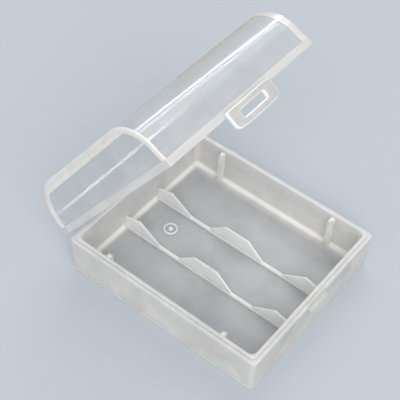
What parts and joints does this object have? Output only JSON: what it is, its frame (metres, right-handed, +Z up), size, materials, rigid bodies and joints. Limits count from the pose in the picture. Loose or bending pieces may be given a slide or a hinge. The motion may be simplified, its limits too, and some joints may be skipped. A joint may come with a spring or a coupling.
{
  "type": "battery case",
  "caption": "Hinged clear plastic case for short cylindrical cells, with a rib-divided tray, round-shouldered lid and snap loop latch, lid open.",
  "frame": {"origin": "middle of the tray's underside, on the surface that the case stands on", "axes": "+X along the hinge, +Y from the latch side to the hinge side, +Z up; the lid stands open as in the picture"},
  "size_m": [0.0428, 0.0554, 0.0526],
  "materials": {
    "tray_plastic": "milky translucent polypropylene, fine satin moulding texture",
    "lid_plastic": "clearer translucent polypropylene, smooth and glossy on the shoulders",
    "detail_plastic": "thicker milky polypropylene that looks whiter, with soft moulded edges",
    "hinge_plastic": "polypropylene film hinge, whitened slightly where it bends"
  },
  "bodies": {
    "tray": {"tray": "tray_plastic", "divider_rib_left": "detail_plastic", "divider_rib_right": "detail_plastic", "end_stop_left_front": "detail_plastic", "end_stop_left_rear": "detail_plastic", "end_stop_right_front": "detail_plastic", "end_stop_right_rear": "detail_plastic", "gate_mark": "detail_plastic", "latch_catch": "detail_plastic", "hinge_leaf_tray": "hinge_plastic"},
    "lid": {"lid": "lid_plastic", "hinge_leaf_lid": "hinge_plastic"},
    "latch_loop": {"latch_loop": "detail_plastic"}
  },
  "joints": [
    {"name": "lid_hinge", "type": "hinge", "parent": "tray", "child": "lid", "pos_m": [0, 0.02505, 0.0091], "axis": [-1, 0, 0], "range_deg": [-55.7, 104.3]},
    {"name": "latch_loop_flex", "type": "hinge", "parent": "lid", "child": "latch_loop", "pos_m": [0, -0.00245, 0.05093], "axis": [-1, 0, 0], "range_deg": [0, 20], "stiffness_Nm_per_rad": 0.02}
  ]
}
